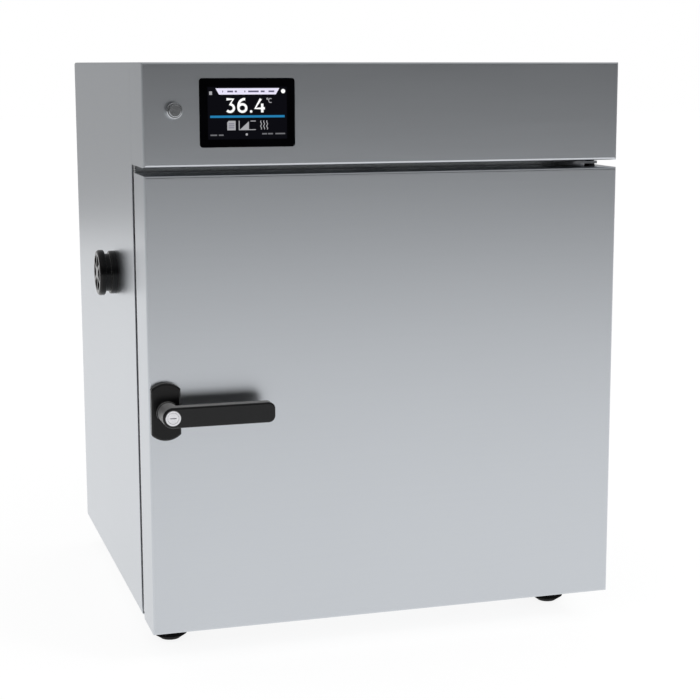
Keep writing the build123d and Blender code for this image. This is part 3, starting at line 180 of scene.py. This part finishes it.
def brushed(colour, dark, rough, grain, depth, waviness=0.0):
    """Builder of brushed steel: fine lines along X on the front and along Y on the sides.

    grain is the lines' scale, depth their depth and waviness the sheet's slow swell, in metres.
    """

    def build(tree):
        place = object_place(tree)
        normal = tree.add("ShaderNodeTexCoord").outputs["Normal"]
        sideways = tree.add("ShaderNodeSeparateXYZ", {"Vector": normal}).outputs["X"]
        on_side = tree.add(
            "ShaderNodeMath",
            {
                0: tree.add("ShaderNodeMath", {0: sideways}, operation="ABSOLUTE").outputs[0],
                1: SIDE_SLOPE,
            },
            operation="GREATER_THAN",
        ).outputs[0]
        stretch = tree.add("ShaderNodeMix", {"Factor": on_side}, data_type="VECTOR")
        stretch.inputs[4].default_value = (GRAIN_STRETCH, 1.0, 1.0)
        stretch.inputs[5].default_value = (1.0, GRAIN_STRETCH, 1.0)
        lines = tree.noise(tree.scaled(place, stretch.outputs[1]), grain, detail=5.0, rough=0.65)
        clouds = tree.noise(place, CLOUD_SCALE, detail=2.0)
        both = tree.add("ShaderNodeMath", {0: lines, 1: clouds}, operation="ADD").outputs[0]
        fine = tree.bump(lines, FINE_BUMP, depth)
        if waviness:
            slow = tree.noise(place, WAVE_SCALE, detail=1.0)
            fine = tree.add(
                "ShaderNodeBump",
                {"Height": slow, "Strength": 1.0, "Distance": waviness, "Normal": fine},
            ).outputs["Normal"]
        return {
            "Base Color": tree.colours(tree.spread(both, 0.0, 1.0, 0.7, 1.3), dark, colour),
            "Roughness": tree.spread(lines, rough - 0.01, rough + 0.015),
            "Normal": fine,
        }

    return build


def mottled(colour, other, scale, rough, rough_spread, bump_scale, depth):
    """Builder of a surface with soft colour changes and a fine grain, depth in metres."""

    def build(tree):
        place = object_place(tree)
        patches = tree.noise(place, scale, detail=4.0)
        grain = tree.noise(place, bump_scale, detail=3.0)
        return {
            "Base Color": tree.colours(tree.spread(patches, 0.0, 1.0), other, colour),
            "Roughness": tree.spread(grain, rough - rough_spread, rough + rough_spread),
            "Normal": tree.bump(grain, MOTTLE_BUMP, depth),
        }

    return build


def make_materials():
    """Every material by the name of its slot in the record."""
    finishes = {
        "satin_steel": dict(
            build=brushed(linear(205, 209, 214), linear(203, 207, 212), 0.31, 420.0, 0.00001, 0.00010),
            metallic=1.0,
        ),
        "chamber_steel": dict(
            build=brushed(linear(220, 221, 222), linear(205, 206, 207), 0.24, 300.0, 0.00003),
            metallic=1.0,
        ),
        "bright_wire": dict(
            build=mottled(linear(225, 226, 228), linear(205, 206, 208), 60.0, 0.16, 0.05, 900.0, 0.00002),
            metallic=1.0,
        ),
        "zinc_steel": dict(
            build=mottled(linear(188, 191, 194), linear(160, 165, 170), 90.0, 0.40, 0.10, 400.0, 0.00003),
            metallic=1.0,
        ),
        "fastener_steel": dict(
            build=mottled(linear(190, 191, 194), linear(165, 166, 170), 220.0, 0.30, 0.08, 1500.0, 0.00002),
            metallic=1.0,
        ),
        "latch_steel": dict(
            build=mottled(linear(176, 178, 181), linear(150, 152, 156), 120.0, 0.34, 0.08, 900.0, 0.00003),
            metallic=1.0,
        ),
        "black_pin": dict(
            build=mottled(linear(34, 34, 36), linear(22, 22, 24), 150.0, 0.38, 0.08, 1200.0, 0.00002),
            metallic=0.6,
        ),
        "black_plastic": dict(
            build=mottled(linear(9, 9, 10), linear(6, 6, 7), 80.0, 0.24, 0.04, 1800.0, 0.00003),
            specular_ior_level=0.25,
            sheen_weight=0.35,
            sheen_roughness=0.3,
        ),
        "black_lever": dict(
            build=mottled(linear(15, 16, 18), linear(11, 12, 14), 60.0, 0.25, 0.04, 2200.0, 0.00002),
            specular_ior_level=0.30,
            sheen_weight=0.9,
            sheen_roughness=0.3,
        ),
        "lock_chrome": dict(
            build=mottled(linear(226, 226, 229), linear(214, 214, 218), 200.0, 0.20, 0.04, 1500.0, 0.00001),
            metallic=1.0,
        ),
        "button_steel": dict(
            build=mottled(linear(198, 200, 203), linear(190, 193, 196), 150.0, 0.24, 0.02, 1500.0, 0.000005),
            metallic=1.0,
        ),
        "display_glass": dict(
            build=mottled(linear(3, 3, 5), linear(1, 1, 2), 30.0, 0.09, 0.02, 500.0, 0.000002),
            specular_ior_level=0.1,
        ),
        "foot_rubber": dict(
            build=mottled(linear(7, 7, 8), linear(4, 4, 5), 90.0, 0.75, 0.08, 1200.0, 0.00008),
            specular_ior_level=0.1,
        ),
        "gasket_silicone": dict(
            build=mottled(linear(46, 46, 48), linear(36, 36, 38), 40.0, 0.50, 0.06, 900.0, 0.00004),
        ),
        "mineral_wool": dict(
            build=mottled(linear(196, 182, 128), linear(150, 134, 86), 160.0, 0.95, 0.03, 500.0, 0.0012),
        ),
        "heater_sheath": dict(
            build=mottled(linear(120, 108, 100), linear(86, 78, 76), 60.0, 0.50, 0.10, 900.0, 0.00003),
            metallic=1.0,
        ),
        "board_green": dict(
            build=mottled(linear(24, 96, 54), linear(16, 74, 42), 300.0, 0.45, 0.08, 700.0, 0.00003),
        ),
        "supply_casing": dict(
            build=mottled(linear(196, 198, 200), linear(176, 178, 181), 90.0, 0.36, 0.08, 900.0, 0.00003),
            metallic=1.0,
        ),
    }
    return {name: principled(name, **finish) for name, finish in finishes.items()}


def dress_nodes(materials):
    """Gives each CAD node the finished material of its slot."""
    for subpart in frame["record"]["subparts"]:
        node = nodes[subpart["node"]]
        material = materials[subpart["material_slot"]]
        if not node.material_slots:
            node.data.materials.append(material)
        for place in node.material_slots:
            place.material = material


# Display: thin lit shapes on the glass, placed by shares of its width and height
GLASS_LOW, GLASS_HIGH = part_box("display_glass")
LIT_DEPTH = 0.0001
DIGIT_STROKE = 0.00148
POINT_RADIUS = 0.0015
DIGIT_BASE = 0.502
SMALL_STROKE = 0.00045


def on_glass(across, down):
    """Place on the glass by shares from its left and its top."""
    return (
        GLASS_LOW.x + across * (GLASS_HIGH.x - GLASS_LOW.x),
        GLASS_HIGH.z - down * (GLASS_HIGH.z - GLASS_LOW.z),
    )


def lit(name, colour):
    """Material of a part of the picture on the display."""
    return principled(
        name,
        lambda tree: {},
        base_color=grey(0.0),
        roughness=0.5,
        specular_ior_level=0.0,
        emission_color=colour,
        emission_strength=1.0,
    )


def add_piece(name, mesh, material, body):
    """Object of the incubator that rides on a body and takes its finish from a slot."""
    mesh.materials.append(material)
    made = bpy.data.objects.new(name, mesh)
    scene.collection.objects.link(made)
    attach(made, body)
    return made


def lit_shapes(name, outlines, material, layer=1):
    """Flat shapes on the glass, each given by its outline in shares of the glass."""
    mesh = bpy.data.meshes.new(name)
    work = bmesh.new()
    front = GLASS_LOW.y - layer * LIT_DEPTH
    for outline in outlines:
        rings = [
            [work.verts.new((x, y, z)) for x, z in (on_glass(*place) for place in outline)]
            for y in (front, GLASS_LOW.y)
        ]
        for ring in rings:
            work.faces.new(ring)
        for here, there in zip(range(len(outline)), [*range(1, len(outline)), 0]):
            work.faces.new((rings[0][here], rings[0][there], rings[1][there], rings[1][here]))
    bmesh.ops.recalc_face_normals(work, faces=work.faces)
    work.to_mesh(mesh)
    work.free()
    return add_piece(name, mesh, material, "cabinet")


def lit_strokes(name, paths, radius, material):
    """Round pen strokes on the glass, each path in metres from the glass's lower left corner."""
    data = bpy.data.curves.new(name, "CURVE")
    data.dimensions = "3D"
    data.bevel_depth = radius
    data.bevel_resolution = 3
    data.use_fill_caps = True
    for path in paths:
        spline = data.splines.new("POLY")
        spline.points.add(len(path) - 1)
        for point, (x, z) in zip(spline.points, path):
            point.co = (GLASS_LOW.x + x, 0.0, GLASS_LOW.z + z, 1.0)
    curve = bpy.data.objects.new(name, data)
    mesh = bpy.data.meshes.new_from_object(curve)
    bpy.data.objects.remove(curve)
    for vertex in mesh.vertices:
        vertex.co.y = GLASS_LOW.y + LIT_DEPTH * (vertex.co.y / radius - 1.0)
    return add_piece(name, mesh, material, "cabinet")


def rectangle(left, right, top, bottom):
    """Outline of an upright rectangle in shares of the glass."""
    return [(left, top), (right, top), (right, bottom), (left, bottom)]


def disc(across, down, radius, steps=20):
    """Outline of a disc, its radius as a share of the glass's width."""
    aspect = (GLASS_HIGH.x - GLASS_LOW.x) / (GLASS_HIGH.z - GLASS_LOW.z)
    turns = [2 * math.pi * step / steps for step in range(steps)]
    return [
        (across + radius * math.cos(turn), down + radius * aspect * math.sin(turn)) for turn in turns
    ]


def bend(middle, radii, start, end, steps=14):
    """Points on an elliptical arc, angles in degrees, lengths in millimetres."""
    turns = [math.radians(start + (end - start) * step / steps) for step in range(steps + 1)]
    return [
        (middle[0] + radii[0] * math.cos(turn), middle[1] + radii[1] * math.sin(turn))
        for turn in turns
    ]


def digit_paths():
    """Centre lines of the figures of the reading 36.4, in millimetres from each one's corner."""
    three = [(1.2, 15.6), (9.2, 15.6), (5.2, 9.8), *bend((5.3, 5.5), (4.5, 4.25), 80, -142)]
    six = [*bend((8.4, 7.4), (7.0, 8.2), 82, 180), *bend((6.0, 5.5), (4.6, 4.25), 180, 540, 26)]
    four_slope = [(8.3, 15.9), (1.5, 5.0), (12.9, 5.0)]
    four_stem = [(9.9, 10.4), (9.9, 0.3)]
    return [
        (0.270, three),
        (0.392, six),
        (0.566, four_slope),
        (0.566, four_stem),
    ]


def make_display():
    """Reading, status bar, line, symbols and marks, without any words."""
    width = GLASS_HIGH.x - GLASS_LOW.x
    height = GLASS_HIGH.z - GLASS_LOW.z
    white = lit("display_white", grey(1.0))
    pale = lit("display_pale", linear(168, 168, 172))
    dim = lit("display_dim", linear(112, 112, 116))
    lilac = lit("display_lilac", linear(232, 228, 248))
    dark = lit("display_dark", linear(96, 92, 118))
    blue = lit("display_blue", linear(38, 125, 175))
    field = lit("display_field", linear(13, 13, 18))
    base = (1 - DIGIT_BASE) * height

    def paths(figures):
        return [
            [(start * width + x / 1000, base + z / 1000) for x, z in path] for start, path in figures
        ]

    lit_shapes("display_field", [rectangle(0.085, 0.915, 0.125, 0.885)], field)
    lit_strokes("display_reading", paths(digit_paths()), DIGIT_STROKE, white)
    point = disc(0.537, DIGIT_BASE - POINT_RADIUS / height, POINT_RADIUS / width)
    lit_shapes("display_point", [point], white, layer=2)
    unit_ring = bend((1.0, 15.9), (0.8, 0.8), 0, 360, 12)
    unit_letter = bend((4.6, 13.9), (2.1, 2.4), 50, 310, 12)
    lit_strokes("display_unit", paths([(0.70, unit_ring), (0.70, unit_letter)]), SMALL_STROKE, pale)
    bar = [(0.168, 0.145), (0.836, 0.145), (0.799, 0.237), (0.204, 0.237)]
    lit_shapes("display_bar", [bar], lilac, layer=2)
    marks = [
        (0.238, 0.008),
        (0.290, 0.060),
        (0.368, 0.022),
        (0.468, 0.010),
        (0.508, 0.110),
        (0.640, 0.040),
        (0.722, 0.060),
    ]
    lit_shapes(
        "display_bar_marks",
        [rectangle(start, start + length, 0.180, 0.204) for start, length in marks],
        dark,
        layer=3,
    )
    lit_shapes("display_line", [rectangle(0.109, 0.890, 0.539, 0.572)], blue, layer=2)
    lit_shapes("display_lamp", [disc(0.876, 0.190, 0.022)], white, layer=2)
    lit_shapes("display_link", [rectangle(0.102, 0.132, 0.190, 0.240)], pale, layer=2)
    page = [(0.300, 0.616), (0.372, 0.616), (0.372, 0.753), (0.285, 0.753), (0.285, 0.640)]
    steps = [(0.420, 0.742), (0.512, 0.625), (0.512, 0.742)]
    axes = [
        rectangle(0.405, 0.414, 0.616, 0.753),
        rectangle(0.405, 0.584, 0.742, 0.753),
        rectangle(0.530, 0.584, 0.616, 0.628),
    ]
    small = [rectangle(0.109, 0.178, 0.813, 0.833), rectangle(0.196, 0.245, 0.813, 0.833)]
    small += [rectangle(start, start + 0.052, 0.799, 0.819) for start in (0.650, 0.712, 0.790, 0.842)]
    lit_shapes("display_symbols", [page, steps, *axes, disc(0.488, 0.816, 0.012)], pale, layer=2)
    lit_shapes("display_marks", small, dim, layer=2)
    lines = [rectangle(0.300, 0.358, down, down + 0.010) for down in (0.655, 0.684, 0.713)]
    lit_shapes("display_page_lines", lines, dark, layer=3)
    waves = [
        [
            (
                across * width + 0.0006 * math.sin(math.pi * step / 4),
                (1 - 0.746 + 0.13 * step / 16) * height,
            )
            for step in range(17)
        ]
        for across in (0.640, 0.672, 0.704)
    ]
    lit_strokes("display_heat", waves, SMALL_STROKE, pale)


# Feet: rubber cones with a bore for their screws, turned about Z
FOOT_CAD_RADIUS = 0.019
FOOT_RADIUS = 0.0208
FOOT_TIP_RADIUS = 0.0128
FOOT_TAPER = 0.0062
FOOT_ROUND = 0.0006
FOOT_BORE_RADIUS = 0.008
FOOT_BORE_DEPTH = 0.022


def turned(work, profile, centre, steps=64):
    """Adds a ring-shaped solid: a closed profile of radii and heights turned about a centre."""
    rings = []
    for step in range(steps):
        turn = 2 * math.pi * step / steps
        rings.append(
            [
                work.verts.new(
                    (centre[0] + radius * math.cos(turn), centre[1] + radius * math.sin(turn), height)
                )
                for radius, height in profile
            ]
        )
    for here, there in zip(rings, [*rings[1:], rings[0]]):
        for low, high in zip(range(len(profile)), [*range(1, len(profile)), 0]):
            work.faces.new((here[low], there[low], there[high], here[high]))


def make_feet(material):
    """Four feet in the places of the CAD ones."""
    low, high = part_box("rubber_feet")
    profile = [
        (FOOT_BORE_RADIUS, 0.0),
        (FOOT_TIP_RADIUS - FOOT_ROUND, 0.0),
        (FOOT_TIP_RADIUS, FOOT_ROUND),
        (FOOT_RADIUS, FOOT_TAPER),
        (FOOT_RADIUS, high.z),
        (FOOT_BORE_RADIUS / 2, high.z),
        (FOOT_BORE_RADIUS / 2, FOOT_BORE_DEPTH),
        (FOOT_BORE_RADIUS, FOOT_BORE_DEPTH),
    ]
    mesh = bpy.data.meshes.new("molded_feet")
    work = bmesh.new()
    for x in (low.x + FOOT_CAD_RADIUS, high.x - FOOT_CAD_RADIUS):
        for y in (low.y + FOOT_CAD_RADIUS, high.y - FOOT_CAD_RADIUS):
            turned(work, profile, (x, y))
    bmesh.ops.recalc_face_normals(work, faces=work.faces)
    work.to_mesh(mesh)
    work.free()
    feet = add_piece("molded_feet", mesh, material, "cabinet")
    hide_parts("rubber_feet")


# Studio
FLOOR_SIZE = 40.0
FLOOR_GLOW = 1.08
FLOOR_SHARE = 0.82
WALL_RADIUS = 5.2
WALL_HEIGHT = 9.0
WALL_FRONT = 0.05
WALL_BACK = 0.46
WALL_HIGH = 0.45
WALL_RISE = (2.0, 5.0)  # heights between which the wall brightens
AMBIENT = 0.80
FLOOR_GREY = 0.86
KEY_PLACE = (2.3, -2.6, 2.5)
KEY_TARGET = (0.0, 0.0, 0.35)
KEY_SIZE = 0.9
KEY_WATTS = 30.0


def seen_directly(tree):
    """1 where the camera, a reflection or a view through glass meets the studio, else 0."""
    path = tree.add("ShaderNodeLightPath").outputs
    seen = path["Is Camera Ray"]
    for kind in ("Is Glossy Ray", "Is Transmission Ray"):
        seen = tree.add("ShaderNodeMath", {0: seen, 1: path[kind]}, operation="MAXIMUM").outputs[0]
    return seen


def make_world():
    """White for what the camera and the gloss see, plain grey light for the rest."""
    world = bpy.data.worlds.new("studio")
    scene.world = world
    tree = Tree(world)
    strength = tree.spread(seen_directly(tree), AMBIENT, 1.0, 0.0, 1.0)
    light = tree.add("ShaderNodeBackground", {"Color": grey(1.0), "Strength": strength})
    tree.add("ShaderNodeOutputWorld", {"Surface": light.outputs[0]})


def stage_object(name, mesh, material):
    """Object that belongs to the studio and not to the incubator."""
    mesh.materials.append(material)
    made = bpy.data.objects.new(name, mesh)
    scene.collection.objects.link(made)
    return made


def make_floor():
    """Pale floor, white to the camera apart from the object's shadow."""
    material = bpy.data.materials.new("floor")
    tree = Tree(material)
    matt = tree.add("ShaderNodeBsdfDiffuse", {"Color": grey(FLOOR_GREY)})
    white = tree.add("ShaderNodeEmission", {"Color": grey(1.0), "Strength": FLOOR_GLOW})
    share = tree.spread(seen_directly(tree), 0.0, FLOOR_SHARE, 0.0, 1.0)
    mixed = tree.add("ShaderNodeMixShader", {0: share, 1: matt.outputs[0], 2: white.outputs[0]})
    tree.add("ShaderNodeOutputMaterial", {"Surface": mixed.outputs[0]})
    mesh = bpy.data.meshes.new("floor")
    work = bmesh.new()
    bmesh.ops.create_grid(work, x_segments=1, y_segments=1, size=FLOOR_SIZE / 2)
    work.to_mesh(mesh)
    work.free()
    stage_object("floor", mesh, material)


def make_wall():
    """Dim wall and ceiling, darkest low in front, which only the gloss on the object shows."""
    material = bpy.data.materials.new("wall")
    tree = Tree(material)
    place = object_place(tree)
    axes = tree.add("ShaderNodeSeparateXYZ", {"Vector": place}).outputs
    low = tree.spread(axes["Y"], WALL_FRONT, WALL_BACK, -WALL_RADIUS, WALL_RADIUS)
    high = tree.spread(axes["Z"], 0.0, WALL_HIGH, *WALL_RISE)
    level = tree.add("ShaderNodeMath", {0: low, 1: high}, operation="MAXIMUM").outputs[0]
    glow = tree.add("ShaderNodeEmission", {"Color": grey(1.0), "Strength": level})
    tree.add("ShaderNodeOutputMaterial", {"Surface": glow.outputs[0]})
    mesh = bpy.data.meshes.new("wall")
    work = bmesh.new()
    bmesh.ops.create_cone(
        work, segments=96, radius1=WALL_RADIUS, radius2=WALL_RADIUS, depth=WALL_HEIGHT, cap_ends=False
    )
    bmesh.ops.translate(work, verts=work.verts, vec=(0, 0, WALL_HEIGHT / 2))
    ceiling = bmesh.ops.create_circle(work, cap_ends=True, segments=96, radius=WALL_RADIUS)
    bmesh.ops.translate(work, verts=ceiling["verts"], vec=(0, 0, WALL_HEIGHT))
    work.to_mesh(mesh)
    work.free()
    wall = stage_object("wall", mesh, material)
    wall.visible_camera = False
    wall.visible_diffuse = False
    wall.visible_shadow = False


def make_lamp(name, place, target, size, watts):
    """Square soft lamp aimed at a point, which leaves no highlight in the gloss."""
    data = bpy.data.lights.new(name, "AREA")
    data.size = size
    data.energy = watts
    lamp = bpy.data.objects.new(name, data)
    lamp.location = place
    lamp.rotation_euler = (Vector(target) - Vector(place)).to_track_quat("-Z", "Y").to_euler()
    lamp.visible_glossy = False
    scene.collection.objects.link(lamp)


make_camera()
make_world()
make_floor()
make_wall()
make_lamp("key", KEY_PLACE, KEY_TARGET, KEY_SIZE, KEY_WATTS)
materials = make_materials()
dress_nodes(materials)
make_display()
make_feet(materials["foot_rubber"])

scene.view_settings.view_transform = "Standard"
